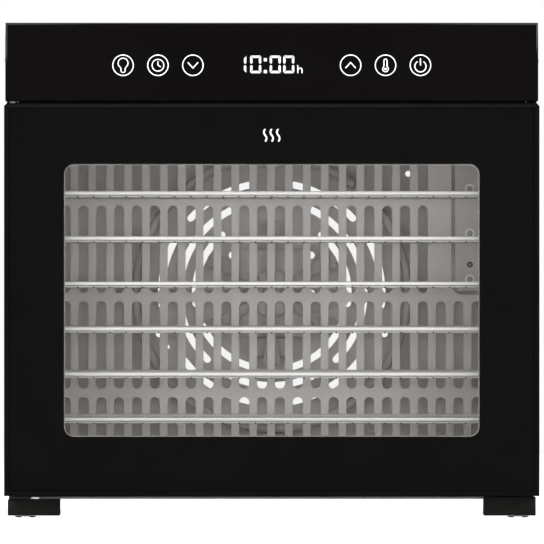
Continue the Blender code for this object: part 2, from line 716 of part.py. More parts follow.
BLACK_PAINT = material("black_paint", (0.012, 0.012, 0.012), 0.45)
BLACK_PLASTIC = material("black_plastic", (0.010, 0.010, 0.010), 0.35)
GLOSS_BLACK = material("gloss_black", (0.006, 0.006, 0.006), 0.08)
BARE_STEEL = material("bare_steel", (0.55, 0.55, 0.54), 0.38, 1.0)
STAINLESS = material("stainless", (0.56, 0.55, 0.53), 0.30, 1.0)
DARK_STEEL = material("dark_steel", (0.16, 0.15, 0.14), 0.45, 1.0)
CHROME = material("chrome", (0.82, 0.82, 0.80), 0.12, 1.0)
ALUMINIUM = material("aluminium", (0.60, 0.60, 0.60), 0.35, 1.0)
WINDING = material("winding", (0.55, 0.52, 0.48), 0.50)
GLASS = material("tinted_glass", (0.10, 0.10, 0.10), 0.05)
LENS = material("lens", (0.85, 0.84, 0.78), 0.20)
RUBBER = material("rubber", (0.03, 0.03, 0.03), 0.75)
SILICONE = material("silicone", (0.05, 0.05, 0.05), 0.60)
BOARD_GREEN = material("board_green", (0.02, 0.10, 0.04), 0.50)

make_housing()
make_feet()
make_liner()
make_baffle()
make_lamp()
make_trays()
make_door()
make_control_head()
make_motor()
make_fan()
make_heater()
make_electrics()
hang_moving_pieces()
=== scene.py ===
"""The looks of the food dehydrator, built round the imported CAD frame. Metres, +Z up, front at -Y."""

import math
import random

import bmesh
import bpy
from mathutils import Matrix, Vector
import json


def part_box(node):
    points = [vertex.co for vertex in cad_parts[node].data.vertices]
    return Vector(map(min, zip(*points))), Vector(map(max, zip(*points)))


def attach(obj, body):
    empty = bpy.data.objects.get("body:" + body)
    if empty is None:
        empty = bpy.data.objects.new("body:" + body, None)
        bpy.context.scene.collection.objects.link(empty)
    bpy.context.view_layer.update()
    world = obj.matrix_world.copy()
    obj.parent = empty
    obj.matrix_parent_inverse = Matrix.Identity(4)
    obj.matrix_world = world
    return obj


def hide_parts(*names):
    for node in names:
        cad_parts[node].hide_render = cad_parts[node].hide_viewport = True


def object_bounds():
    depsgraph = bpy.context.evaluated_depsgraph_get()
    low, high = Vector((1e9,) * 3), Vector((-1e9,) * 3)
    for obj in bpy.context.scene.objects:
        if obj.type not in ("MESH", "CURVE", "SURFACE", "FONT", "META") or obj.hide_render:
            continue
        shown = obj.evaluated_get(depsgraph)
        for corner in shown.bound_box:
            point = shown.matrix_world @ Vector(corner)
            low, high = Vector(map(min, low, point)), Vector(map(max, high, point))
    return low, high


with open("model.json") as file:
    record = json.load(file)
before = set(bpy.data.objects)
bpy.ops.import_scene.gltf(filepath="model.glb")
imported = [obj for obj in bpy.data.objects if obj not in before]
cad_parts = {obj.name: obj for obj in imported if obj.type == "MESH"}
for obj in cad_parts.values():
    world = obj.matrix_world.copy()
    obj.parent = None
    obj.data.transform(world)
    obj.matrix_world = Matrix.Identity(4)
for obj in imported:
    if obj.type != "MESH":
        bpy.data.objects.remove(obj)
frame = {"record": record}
CAD_BOX = [list(corner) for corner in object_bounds()]
random.seed(7)

FRONT_Y = CAD_BOX[0][1]
SKIN = 0.00015  # thickness of printed marks


# ---- shader helpers ------------------------------------------------------------------
class Shader:
    """A material with a Principled shader, and short calls for the nodes that vary it."""

    def __init__(self, name, colour, roughness, metallic=0.0):
        self.material = bpy.data.materials.new(name)
        self.material.use_nodes = True
        self.tree = self.material.node_tree
        self.shader = self.tree.nodes["Principled BSDF"]
        self.colour = colour
        self.set("Base Color", (*colour, 1.0))
        self.set("Roughness", roughness)
        self.set("Metallic", metallic)
        self.place = self.node("ShaderNodeTexCoord").outputs["Object"]
        self.normal = None

    def set(self, socket, value):
        self.shader.inputs[socket].default_value = value

    def node(self, kind, **settings):
        made = self.tree.nodes.new(kind)
        for key, value in settings.items():
            setattr(made, key, value)
        return made

    def link(self, output, target):
        self.tree.links.new(output, target)

    def stretched(self, scale):
        mapping = self.node("ShaderNodeMapping")
        mapping.inputs["Scale"].default_value = scale
        self.link(self.place, mapping.inputs["Vector"])
        return mapping.outputs["Vector"]

    def noise(self, scale, detail, stretch=None):
        texture = self.node("ShaderNodeTexNoise")
        texture.inputs["Scale"].default_value = scale
        texture.inputs["Detail"].default_value = detail
        self.link(self.stretched(stretch) if stretch else self.place, texture.inputs["Vector"])
        return texture.outputs["Fac"]

    def spread(self, value, low, high):
        """Maps the middle of a noise's range, where nearly all of it lies, to low and high."""
        remap = self.node("ShaderNodeMapRange")
        limits = {"From Min": 0.3, "From Max": 0.7, "To Min": low, "To Max": high}
        for key, number in limits.items():
            remap.inputs[key].default_value = number
        self.link(value, remap.inputs["Value"])
        return remap.outputs["Result"]

    def vary_colour(self, value, dark, light):
        ramp = self.node("ShaderNodeValToRGB")
        ramp.color_ramp.elements[0].position = 0.30
        ramp.color_ramp.elements[1].position = 0.70
        ramp.color_ramp.elements[0].color = (*[c * dark for c in self.colour], 1.0)
        ramp.color_ramp.elements[1].color = (*[c * light for c in self.colour], 1.0)
        self.link(value, ramp.inputs["Fac"])
        self.link(ramp.outputs["Color"], self.shader.inputs["Base Color"])
        return self

    def vary_roughness(self, value, low, high):
        self.link(self.spread(value, low, high), self.shader.inputs["Roughness"])
        return self

    def bump(self, value, height, strength):
        made = self.node("ShaderNodeBump")
        made.inputs["Distance"].default_value = height
        made.inputs["Strength"].default_value = strength
        self.link(value, made.inputs["Height"])
        if self.normal:
            self.link(self.normal, made.inputs["Normal"])
        self.normal = made.outputs["Normal"]
        self.link(self.normal, self.shader.inputs["Normal"])
        return self


# ---- materials -----------------------------------------------------------------------
def powder_coat(name, colour):
    made = Shader(name, colour, 0.42)
    made.vary_colour(made.noise(14, 4), 0.92, 1.10)
    made.vary_roughness(made.noise(260, 3), 0.40, 0.45)
    return made.bump(made.noise(1400, 2), 0.00006, 0.5).material


def moulded_plastic(name, colour, roughness, gloss=0.30):
    made = Shader(name, colour, roughness)
    made.set("Specular IOR Level", gloss)
    made.vary_colour(made.noise(22, 4), 0.82, 1.22)
    made.vary_roughness(made.noise(90, 3), roughness - 0.05, roughness + 0.06)
    return made.bump(made.noise(2600, 2), 0.00004, 0.4).material


def polished_black(name, colour):
    made = Shader(name, colour, 0.06)
    made.set("Specular IOR Level", 0.35)
    made.vary_colour(made.noise(9, 3), 0.85, 1.15)
    made.vary_roughness(made.noise(35, 5), 0.042, 0.096)
    return made.bump(made.noise(5, 1), 0.00002, 0.3).material


def sheet_steel(name, colour, roughness, metallic, along):
    """Fine brushed sheet. The grain runs along one axis, and faint rolling marks cross it."""
    stretch = [700.0, 700.0, 700.0]
    stretch[along] = 9.0
    made = Shader(name, colour, roughness, metallic)
    grain = made.noise(1.0, 3, stretch)
    made.vary_colour(made.noise(7, 5), 0.90, 1.08)
    made.vary_roughness(grain, roughness - 0.05, roughness + 0.07)
    return made.bump(grain, 0.00002, 0.25).material


def galvanised(name, colour):
    """Zinc-plated sheet with its soft crystal patches."""
    made = Shader(name, colour, 0.45, 0.25)
    cells = made.node("ShaderNodeTexVoronoi")
    cells.inputs["Scale"].default_value = 110
    made.link(made.place, cells.inputs["Vector"])
    mixed = made.node("ShaderNodeMath", operation="MULTIPLY_ADD")
    made.link(cells.outputs["Distance"], mixed.inputs[0])
    mixed.inputs[1].default_value = 0.35
    made.link(made.noise(16, 5), mixed.inputs[2])
    made.vary_colour(mixed.outputs["Value"], 0.94, 1.05)
    made.vary_roughness(made.noise(40, 4), 0.42, 0.50)
    return made.bump(made.noise(500, 3), 0.00002, 0.3).material


def bright_wire(name, colour):
    """Chrome plate on drawn wire: faintly uneven and a little dulled by washing."""
    made = Shader(name, colour, 0.34, 0.35)
    made.vary_colour(made.noise(18, 2), 0.97, 1.02)
    return made.vary_roughness(made.noise(25, 2), 0.31, 0.37).material


def bare_metal(name, colour, roughness, metallic=0.6):
    made = Shader(name, colour, roughness, metallic)
    made.vary_colour(made.noise(80, 4), 0.85, 1.08)
    made.vary_roughness(made.noise(220, 4), roughness - 0.07, roughness + 0.08)
    return made.bump(made.noise(1200, 2), 0.00001, 0.4).material


def window_glass(name):
    """Clear pane with a light neutral tint: its gloss stays, and the rest lets light through."""
    made = Shader(name, (0.014, 0.014, 0.0135), 0.03)
    made.set("Alpha", 0.05)
    made.set("Specular IOR Level", 0.20)
    made.vary_roughness(made.noise(12, 4), 0.02, 0.06)
    return made.bump(made.noise(3, 1), 0.00001, 0.2).material


def printed_black(name):
    made = Shader(name, (0.0024, 0.0021, 0.0019), 0.40)
    made.set("Specular IOR Level", 0.04)
    made.vary_colour(made.noise(40, 3), 0.88, 1.14)
    made.vary_roughness(made.noise(600, 2), 0.30, 0.42)
    return made.bump(made.noise(1800, 2), 0.00001, 0.2).material


def printed_white_painted_glow(name):
    made = Shader(name, (0.74, 0.74, 0.74), 0.5)
    made.vary_colour(made.noise(900, 2), 0.95, 1.03)
    # The faint emission is a painted glow: the print is no lamp.
    made.set("Emission Strength", 0.12)
    made.set("Emission Color", (1.0, 1.0, 1.0, 1.0))
    made.vary_roughness(made.noise(300, 2), 0.45, 0.58)
    return made.bump(made.noise(2500, 2), 0.00001, 0.3).material


def lit_segment(name):
    """A display segment: white light through a diffuser, its tint faintly uneven."""
    made = Shader(name, (0.60, 0.60, 0.60), 0.5)
    made.set("Emission Strength", 0.30)
    glow = made.node("ShaderNodeValToRGB")
    glow.color_ramp.elements[0].color = (0.90, 0.93, 0.96, 1.0)
    glow.color_ramp.elements[1].color = (1.0, 1.0, 1.0, 1.0)
    made.link(made.noise(420, 2), glow.inputs["Fac"])
    made.link(glow.outputs["Color"], made.shader.inputs["Emission Color"])
    return made.vary_colour(made.noise(300, 2), 0.95, 1.03).material


def soft_rubber(name, colour, roughness=0.7):
    made = Shader(name, colour, roughness)
    made.vary_colour(made.noise(50, 4), 0.75, 1.3)
    made.vary_roughness(made.noise(200, 4), roughness - 0.08, roughness + 0.12)
    return made.bump(made.noise(1800, 3), 0.00005, 0.5).material


def circuit_board(name):
    """Green solder mask with the faint relief of the tracks below it."""
    made = Shader(name, (0.012, 0.085, 0.030), 0.38)
    tracks = made.node("ShaderNodeTexBrick")
    tracks.inputs["Scale"].default_value = 160
    tracks.inputs["Color1"].default_value = (0.012, 0.085, 0.030, 1)
    tracks.inputs["Color2"].default_value = (0.018, 0.120, 0.045, 1)
    tracks.inputs["Mortar"].default_value = (0.008, 0.055, 0.020, 1)
    made.link(made.place, tracks.inputs["Vector"])
    made.link(tracks.outputs["Color"], made.shader.inputs["Base Color"])
    made.vary_roughness(made.noise(120, 3), 0.32, 0.46)
    return made.bump(tracks.outputs["Fac"], 0.00004, 0.5).material


def taped_winding(name):
    """Windings under pale insulating tape, which shows the turns as fine ridges."""
    made = Shader(name, (0.55, 0.52, 0.48), 0.50)
    turns = made.noise(1.0, 1, (30.0, 2600.0, 30.0))
    made.vary_colour(turns, 0.80, 1.10)
    return made.bump(turns, 0.0002, 0.8).material


def frosted_lens(name):
    made = Shader(name, (0.42, 0.415, 0.40), 0.35)
    made.vary_colour(made.noise(300, 3), 0.9, 1.06)
    made.vary_roughness(made.noise(500, 3), 0.28, 0.45)
    return made.bump(made.noise(1500, 2), 0.00003, 0.5).material


def pale_floor(name):
    made = Shader(name, (0.60, 0.60, 0.60), 0.6)
    made.set("Emission Strength", 0.97)
    made.set("Emission Color", (1.0, 1.0, 1.0, 1.0))
    return made.vary_colour(made.noise(0.7, 2), 0.985, 1.015).material


BLACK_PAINT = powder_coat("black_powder_coat", (0.0085, 0.0083, 0.0080))
BLACK_PLASTIC = moulded_plastic("black_moulded", (0.0062, 0.0062, 0.0055), 0.42)
RIM_PLASTIC = moulded_plastic("door_rim_moulded", (0.0034, 0.0031, 0.0029), 0.42, 0.11)
GLOSS_BLACK = polished_black("fascia_gloss", (0.0026, 0.0022, 0.0020))
STAINLESS = sheet_steel("stainless_upright", (0.70, 0.677, 0.658), 0.46, 0.15, 2)
STAINLESS_FLAT = sheet_steel("stainless_lengthwise", (0.70, 0.677, 0.658), 0.46, 0.15, 1)
LAMP_PAN = sheet_steel("lamp_pan_steel", (0.62, 0.60, 0.583), 0.46, 0.15, 2)
GALVANISED = galvanised("galvanised_sheet", (0.79, 0.775, 0.755))
BASE_ZINC = galvanised("dull_zinc_sheet", (0.15, 0.146, 0.142))
WIRE = bright_wire("chrome_wire", (0.86, 0.85, 0.835))
# Near-white and not metallic: a painted highlight in place of the plated eyelet's reflection.
EYELET_PAINTED_HIGHLIGHT = bare_metal("eyelet_painted_highlight", (0.95, 0.94, 0.93), 0.50, 0.0)
# A darker copy of the rod wire: the lower colour is painted shade, the rod's shade on the mesh below it.
MESH_WIRE_PAINTED_SHADE = bright_wire("mesh_wire_painted_shade", (0.56, 0.55, 0.54))
# Near-black wire ends: painted shade under the tray rod.
WIRE_END_PAINTED_SHADE = bare_metal("wire_end_painted_shade", (0.05, 0.048, 0.045), 0.60, 0.0)
PLATED = bare_metal("bright_plated", (0.75, 0.75, 0.74), 0.24)
DARK_STEEL = bare_metal("heat_darkened_steel", (0.40, 0.38, 0.36), 0.50)
HEATER_STEEL = bare_metal("heater_sheath", (0.56, 0.54, 0.52), 0.50, 0.15)
ALUMINIUM = bare_metal("mill_aluminium", (0.52, 0.51, 0.50), 0.45, 0.2)
WINDING = taped_winding("taped_winding")
GLASS = window_glass("window_glass")
PRINT_BLACK = printed_black("black_print")
PRINT_WHITE_PAINTED_GLOW = printed_white_painted_glow("white_print_painted_glow")
SEGMENT = lit_segment("lit_segment")
RUBBER = soft_rubber("foot_rubber", (0.022, 0.021, 0.020))
SILICONE = soft_rubber("gasket_silicone", (0.030, 0.029, 0.028), 0.58)
# A pale bead: its light colour is a painted highlight along the window's edge.
BEAD_PAINTED_HIGHLIGHT = soft_rubber("bead_painted_highlight", (0.22, 0.216, 0.212), 0.5)
# Grey for the temperature probe, and also the painted shadow band beside the lamp pan.
PROBE_GREY_AND_PAINTED_SHADOW = soft_rubber("probe_grey_and_painted_shadow", (0.34, 0.331, 0.323), 0.6)
BOARD = circuit_board("solder_mask")
LENS = frosted_lens("frosted_lens")


# ---- mesh helpers --------------------------------------------------------------------
def add_piece(name, mesh, body, surface, replaces=(), sharp=32):
    """Puts a finished mesh in the scene as a piece that rides on a CAD body."""
    obj = bpy.data.objects.new(name, mesh)
    bpy.context.scene.collection.objects.link(obj)
    mesh.materials.clear()
    mesh.materials.append(surface)
    mesh.shade_smooth()
    mesh.set_sharp_from_angle(angle=math.radians(sharp))
    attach(obj, body)
    if replaces:
        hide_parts(*replaces)
    return obj


def applied(obj):
    """The evaluated mesh of a scratch object in world space. The scratch object is removed."""
    bpy.context.view_layer.update()
    graph = bpy.context.evaluated_depsgraph_get()
    mesh = bpy.data.meshes.new_from_object(obj.evaluated_get(graph))
    mesh.transform(obj.matrix_world)
    bpy.data.objects.remove(obj)
    edit = bmesh.new()
    edit.from_mesh(mesh)
    bmesh.ops.remove_doubles(edit, verts=edit.verts, dist=1e-6)
    bmesh.ops.recalc_face_normals(edit, faces=edit.faces)
    edit.to_mesh(mesh)
    edit.free()
    return mesh


def joined(*meshes):
    edit = bmesh.new()
    for mesh in meshes:
        edit.from_mesh(mesh)
    result = bpy.data.meshes.new("joined")
    edit.to_mesh(result)
    edit.free()
    return result


def scratch(data):
    obj = bpy.data.objects.new("scratch", data)
    bpy.context.scene.collection.objects.link(obj)
    return obj


def plate(outlines, thickness, y, edge=0.0):
    """An upright sheet with its front at y, cut to outlines given in X and Z, with rounded edges."""
    curve = bpy.data.curves.new("plate", "CURVE")
    curve.dimensions = "2D"
    curve.fill_mode = "BOTH"
    curve.extrude = thickness / 2 - edge
    curve.bevel_depth = edge
    curve.bevel_resolution = 2
    curve.offset = -edge
    for points in outlines:
        spline = curve.splines.new("POLY")
        spline.points.add(len(points) - 1)
        spline.use_cyclic_u = True
        for point, (x, z) in zip(spline.points, points):
            point.co = (x, z, 0, 1)
    obj = scratch(curve)
    obj.matrix_world = Matrix.Translation((0, y + thickness / 2, 0)) @ Matrix.Rotation(math.pi / 2, 4, "X")
    return applied(obj)


def tube(points, radius, cyclic, resolution):
    curve = bpy.data.curves.new("tube", "CURVE")
    curve.dimensions = "3D"
    curve.bevel_depth = radius
    curve.bevel_resolution = resolution
    curve.use_fill_caps = not cyclic
    spline = curve.splines.new("POLY")
    spline.points.add(len(points) - 1)
    spline.use_cyclic_u = cyclic
    for point, place in zip(spline.points, points):
        point.co = (*place, 1)
    return applied(scratch(curve))


def facing(axis, side=1):
    """The turn that points +Z along an axis, or against it."""
    if axis == "Z":
        return Matrix.Rotation(0 if side > 0 else math.pi, 4, "X")
    about, sign = ("Y", 1) if axis == "X" else ("X", -1)
    return Matrix.Rotation(sign * side * math.pi / 2, 4, about)


def turned(profile, centre, axis="Y", steps=32):
    """A solid of revolution. The profile is pairs of radius and height along the axis."""
    edit = bmesh.new()
    rings = []
    for radius, height in profile:
        count = 1 if radius == 0 else steps
        ring = []
        for i in range(count):
            angle = 2 * math.pi * i / steps
            ring.append(edit.verts.new((radius * math.cos(angle), radius * math.sin(angle), height)))
        rings.append(ring)
    for a, b in zip(rings, rings[1:]):
        for i in range(steps):
            corners = [a[i % len(a)], a[(i + 1) % len(a)], b[(i + 1) % len(b)], b[i % len(b)]]
            unique = list(dict.fromkeys(corners))
            if len(unique) > 2:
                edit.faces.new(unique)
    bmesh.ops.recalc_face_normals(edit, faces=edit.faces)
    mesh = bpy.data.meshes.new("turned")
    edit.to_mesh(mesh)
    edit.free()
    mesh.transform(Matrix.Translation(centre) @ facing(axis))
    return mesh


def rounded_box(low, high, radius, segments):
    low, high = Vector(low), Vector(high)
    edit = bmesh.new()
    bmesh.ops.create_cube(edit, size=1)
    bmesh.ops.transform(edit, matrix=Matrix.Diagonal((*(high - low), 1)), verts=edit.verts)
    bmesh.ops.translate(edit, vec=(low + high) / 2, verts=edit.verts)
    bmesh.ops.bevel(edit, geom=edit.edges[:], offset=radius, segments=segments, profile=0.5, affect="EDGES")
    mesh = bpy.data.meshes.new("rounded_box")
    edit.to_mesh(mesh)
    edit.free()
    return mesh


def carved(obj, *tools):
    """The mesh of a scratch object with other scratch objects cut out of it. All are removed."""
    for tool in tools:
        cut = obj.modifiers.new("cut", "BOOLEAN")
        cut.operation = "DIFFERENCE"
        cut.object = tool
    mesh = applied(obj)
    for tool in tools:
        bpy.data.objects.remove(tool)
    return mesh


def softened(node, body, surface, width, segments):
    """A copy of a CAD node with its hard edges rounded, shown in the node's place."""
    obj = scratch(bpy.data.objects[node].data.copy())
    obj.matrix_world = bpy.data.objects[node].matrix_world
    weld = obj.modifiers.new("weld", "WELD")
    weld.merge_threshold = 1e-6
    flat = obj.modifiers.new("flat", "DECIMATE")
    flat.decimate_type = "DISSOLVE"
    flat.angle_limit = math.radians(1)
    edges = obj.modifiers.new("edges", "BEVEL")
    edges.width = width
    edges.segments = segments
    edges.limit_method = "ANGLE"
    edges.angle_limit = math.radians(40)
    edges.use_clamp_overlap = True
    return add_piece(node + "_finished", applied(obj), body, surface, (node,))


# ---- outlines ------------------------------------------------------------------------
def arc(centre, radius, start, end, steps):
    angles = [math.radians(start + (end - start) * i / steps) for i in range(steps + 1)]
    return [(centre[0] + radius * math.cos(a), centre[1] + radius * math.sin(a)) for a in angles]


def circle(centre, radius, steps=32):
    return arc(centre, radius, 0, 360 - 360 / steps, steps - 1)


def rounded_rectangle(low, high, radius, steps=8):
    corners = (
        ((high[0] - radius, high[1] - radius), 0),
        ((low[0] + radius, high[1] - radius), 90),
        ((low[0] + radius, low[1] + radius), 180),
        ((high[0] - radius, low[1] + radius), 270),
    )
    points = []
    for centre, start in corners:
        points += arc(centre, radius, start, start + 90, steps)
    return points


def obround(x, low, high, width):
    half = width / 2
    return arc((x, high - half), half, 0, 180, 8) + arc((x, low + half), half, 180, 360, 8)


def arc_slot(centre, radius, width, start, end):
    """A slot along a circle, with round ends."""
    half = width / 2
    tip = math.degrees(half / radius)
    first, last = start + tip, end - tip
    steps = max(4, round((last - first) / 4))
    points = arc(centre, radius + half, first, last, steps)
    tip_centre = arc(centre, radius, last, last, 1)[0]
    points += arc(tip_centre, half, last, last + 180, 8)[1:-1]
    points += arc(centre, radius - half, first, last, steps)[::-1]
    tip_centre = arc(centre, radius, first, first, 1)[0]
    points += arc(tip_centre, half, first + 180, first + 360, 8)[1:-1]
    return points


def ribbon(points, width, cyclic=False):
    """The outline of a line of even width along points, and its hole if the line is closed."""
    left, right = [], []
    count = len(points)
    for i, (x, z) in enumerate(points):
        before = points[i - 1] if (i or cyclic) else points[i]
        after = points[(i + 1) % count] if (i < count - 1 or cyclic) else points[i]
        along = Vector((after[0] - before[0], after[1] - before[1])).normalized()
        first = Vector((x - before[0], z - before[1]))
        reach = width / 2
        if first.length > 0 and (i < count - 1 or cyclic):
            reach /= max(0.5, abs(first.normalized().dot(along)))
        left.append((x - along.y * reach, z + along.x * reach))
        right.append((x + along.y * reach, z - along.x * reach))
    return [left, right] if cyclic else [left + right[::-1]]


# ---- door ----------------------------------------------------------------------------
WINDOW_LOW, WINDOW_HIGH, WINDOW_CORNER = (-0.1338, 0.0523), (0.1338, 0.2279), 0.0064


def make_door():
    softened("door_frame", "door", RIM_PLASTIC, 0.0004, 2)
    softened("door_retainer", "door", BLACK_PLASTIC, 0.0004, 2)

    low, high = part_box("door_glass")
    window = rounded_rectangle(WINDOW_LOW, WINDOW_HIGH, WINDOW_CORNER)
    edge = rounded_rectangle((low[0], low[2]), (high[0], high[2]), 0.0016, 4)
    pane = plate([edge], 0.0024, low[1], 0.0003)
    add_piece("window_pane", pane, "door", GLASS, ("door_glass",))
    printed = plate([edge, window], 0.0003, low[1] + 0.0026)
    add_piece("window_border_print", printed, "door", PRINT_BLACK, ("door_glass",))
    # A pale bead round the window behind the glass: a painted highlight for the light line on the window's
    # top edge.
    bead = 0.0005
    inner_low = [value + bead for value in WINDOW_LOW]
    inner_high = [value - bead for value in WINDOW_HIGH]
    inner = rounded_rectangle(inner_low, inner_high, WINDOW_CORNER - bead)
    painted_light_band = plate([window, inner], 0.0004, high[1] + 0.0001)
    add_piece("window_bead_painted_highlight", painted_light_band, "door", BEAD_PAINTED_HIGHLIGHT)
    make_warm_air_mark(low[1] - SKIN)


def make_warm_air_mark(y):
    """Three rising wavy lines on the glass, the general sign for warm air."""
    low_z, high_z = 0.2425, 0.2505
    waves = []
    for offset in (-0.0042, 0.0, 0.0042):
        steps = 18
        points = []
        for i in range(steps + 1):
            part = i / steps
            sway = 0.0009 * math.sin(2 * math.pi * part)
            points.append((offset + sway, low_z + (high_z - low_z) * part))
        waves.append(plate(ribbon(points, 0.0010), SKIN, y))
    add_piece("warm_air_mark", joined(*waves), "door", PRINT_WHITE_PAINTED_GLOW)


# ---- control head --------------------------------------------------------------------
def digit_segments(lit, x, z, width, height, stroke):
    """The outlines of one digit's lit segments, mitred where they meet, from its corner at x, z.

    The segments have their usual letters. The middle bar is left out, because no digit here lights it.
    """
    gap = 0.00038
    right, top, middle = x + width, z + height, z + height / 2
    inner = stroke * 0.5

    def level(edge, inward):
        return [(x + gap, edge), (right - gap, edge),
                (right - stroke - gap, edge + inward * stroke), (x + stroke + gap, edge + inward * stroke)]

    def upright(edge, inward, tip, rise):
        inside = edge + inward * stroke
        return [(edge, tip + rise * gap), (inside, tip + rise * (stroke + gap)),
                (inside, middle - rise * (inner + gap)), (edge + inward * inner, middle - rise * gap),
                (edge, middle - rise * (inner + gap))]

    shapes = {
        "a": level(top, -1), "d": level(z, 1),
        "f": upright(x, 1, top, -1), "e": upright(x, 1, z, 1),
        "b": upright(right, -1, top, -1), "c": upright(right, -1, z, 1),
    }
    return [shapes[key] for key in lit]


def make_display(y):
    """The time, as three zeros after a one, and a small unit mark."""
    base, height, width, stroke = 0.2865, 0.0113, 0.0071, 0.0015
    zeros = (-0.0139, -0.0013, 0.0074)
    shapes = digit_segments("bc", zeros[0] - 0.0025 - width, base, width, height, stroke)
    for x in zeros:
        shapes += digit_segments("abcdef", x, base, width, height, stroke)
    colon_x, dot = -0.0041, 0.0010
    for z in (base + dot, base + height - 0.0027):
        left, right = colon_x - dot, colon_x + dot
        shapes.append([(left, z - dot), (right, z - dot), (right, z + dot), (left, z + dot)])
    thin = 0.0007
    mark = ribbon([(0.0168, base), (0.0168, base + 0.0052)], thin)
    shoulder = arc((0.0180, base + 0.0022), 0.0011, 180, 0, 8)
    mark += ribbon([(x + 0.0004, z) for x, z in shoulder] + [(0.0195, base)], thin)
    meshes = [plate([shape], SKIN, y) for shape in shapes + mark]
    add_piece("display_digits", joined(*meshes), "cabinet", SEGMENT)


def key_glyphs():
    """The line drawings inside the six touch rings, about a centre of 0, 0."""
    line = 0.00064
    clock = ribbon(circle((0, 0), 0.0038, 36), line, True)
    hands = [ribbon([(0, 0.0025), (0, 0), (0.0018, -0.0011)], line)]
    neck = 0.00135
    globe, cap = arc((0, 0.0014), 0.0032, -52, 232, 24), arc((0, -0.0034), neck, 180, 360, 8)
    bulb = ribbon(globe + [(-neck, -0.0020)] + cap + [(neck, -0.0020)], line, True)
    thermometer = arc((0, 0.0030), 0.0010, 0, 180, 8) + arc((0, -0.0024), 0.0018, 124, 416, 18)
    chevron = [(-0.0033, -0.0018), (0, 0.0018), (0.0033, -0.0018)]
    power = [ribbon(arc((0, -0.0007), 0.0036, 122, 418, 28), line * 1.1)]
    power += [ribbon([(0, -0.0001), (0, 0.0044)], line * 1.1)]
    return {
        "lamp": [bulb],
        "time": [clock] + hands,
        "lower": [ribbon([(x, -z) for x, z in chevron], line * 1.15)],
        "raise": [ribbon(chevron, line * 1.15)],
        "temperature": [ribbon(thermometer, line, True), [circle((0, -0.0024), 0.0008, 16)]],
        "power": power,
    }


def make_keys(y):
    pitch, inner_x, height = 0.0225, 0.0508, 0.2916
    places = {"lamp": -inner_x - 2 * pitch, "time": -inner_x - pitch, "lower": -inner_x,
              "raise": inner_x, "temperature": inner_x + pitch, "power": inner_x + 2 * pitch}
    ring = ribbon(circle((0, 0), 0.00660, 64), 0.00066, True)
    for key, shapes in key_glyphs().items():
        meshes = [plate(outlines, SKIN, y) for outlines in [ring] + shapes]
        mesh = joined(*meshes)
        mesh.transform(Matrix.Translation((places[key], 0, height)))
        add_piece(f"touch_key_{key}", mesh, "cabinet", PRINT_WHITE_PAINTED_GLOW)


def make_control_head():
    softened("control_fascia", "cabinet", GLOSS_BLACK, 0.0007, 3)
    softened("control_housing", "cabinet", BLACK_PLASTIC, 0.0005, 2)
    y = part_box("control_fascia")[0][1] - SKIN
    make_display(y)
    make_keys(y)


# ---- housing -------------------------------------------------------------------------
def pan_screw(centre, axis, side):
    """A pan head with a cross recess cut into it. side is +1 or -1 along the axis."""
    radius, height = 0.0030, 0.0016
    dome = [(radius * math.cos(a), height * math.sin(a)) for a in (0.0, 0.35, 0.7, 1.05, 1.35)]
    profile = [(0, -0.0006), (radius, -0.0006)] + dome + [(0, height)]
    head = scratch(turned(profile, (0, 0, 0), "Z", 24))
    arm, narrow, deep = radius * 0.62, radius * 0.13, height * 0.35
    bars = []
    for x, y in ((arm, narrow), (narrow, arm)):
        bars.append(scratch(rounded_box((-x, -y, deep), (x, y, height * 2), 0.00005, 1)))
    mesh = carved(head, *bars)
    spin = Matrix.Rotation(math.radians(random.uniform(0, 90)), 4, "Z")
    mesh.transform(Matrix.Translation(centre) @ facing(axis, side) @ spin)
    return mesh


def make_housing():
    softened("side_panel_left", "cabinet", BLACK_PAINT, 0.0005, 2)
    softened("side_panel_right", "cabinet", BLACK_PAINT, 0.0005, 2)
    softened("top_panel", "cabinet", BLACK_PAINT, 0.0005, 2)
    softened("base_plate", "cabinet", BASE_ZINC, 0.0003, 2)
    softened("front_frame", "cabinet", BLACK_PLASTIC, 0.0004, 2)
    softened("mains_inlet", "cabinet", BLACK_PLASTIC, 0.0005, 2)
    for end in ("front", "rear"):
        for side in ("left", "right"):
            softened(f"foot_{end}_{side}", "cabinet", BLACK_PLASTIC, 0.0005, 3)
            make_foot_pad(f"foot_pad_{end}_{side}")
    make_hinge_washer()
    make_screws()


def make_foot_pad(node):
    """A round rubber pad with a rounded rim and a shallow groove from front to back across its sole."""
    low, high = (Vector(corner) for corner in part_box(node))
    centre = (low + high) / 2
    radius, thick, groove = (high.x - low.x) / 2, high.z - low.z, 0.0029
    rounding = 0.22
    rim = []
    for angle in (0.0, 0.4, 0.8, 1.2, 1.57):
        reach = 1 - rounding * (1 - math.cos(angle))
        rim.append((radius * reach, thick * (1 - math.sin(angle))))
    pad = scratch(turned([(0, thick)] + rim + [(0, 0)], (centre.x, centre.y, low.z), "Z", 48))
    tool = scratch(rounded_box((centre.x - groove, low.y - 0.01, low.z - 0.0010),
                               (centre.x + groove, high.y + 0.01, low.z + 0.0006), 0.0005, 3))
    add_piece(f"{node}_finished", carved(pad, tool), "cabinet", RUBBER, (node,))


def make_hinge_washer():
    """The plated washer between the lower hinge bracket and the foot's top."""
    low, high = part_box("lower_hinge_bracket")
    bore, rim, thick, edge = 0.0010, 0.0031, 0.0012, 0.0001
    outside = [(rim - edge, 0), (rim, edge), (rim, thick - edge), (rim - edge, thick)]
    ring = [(bore, 0)] + outside + [(bore, thick), (bore, 0)]
    washer = turned(ring, (high[0] + 0.0033, low[1] + 0.0155, low[2] + 0.0001), "Z", 40)
    add_piece("lower_hinge_washer", washer, "cabinet", WIRE)


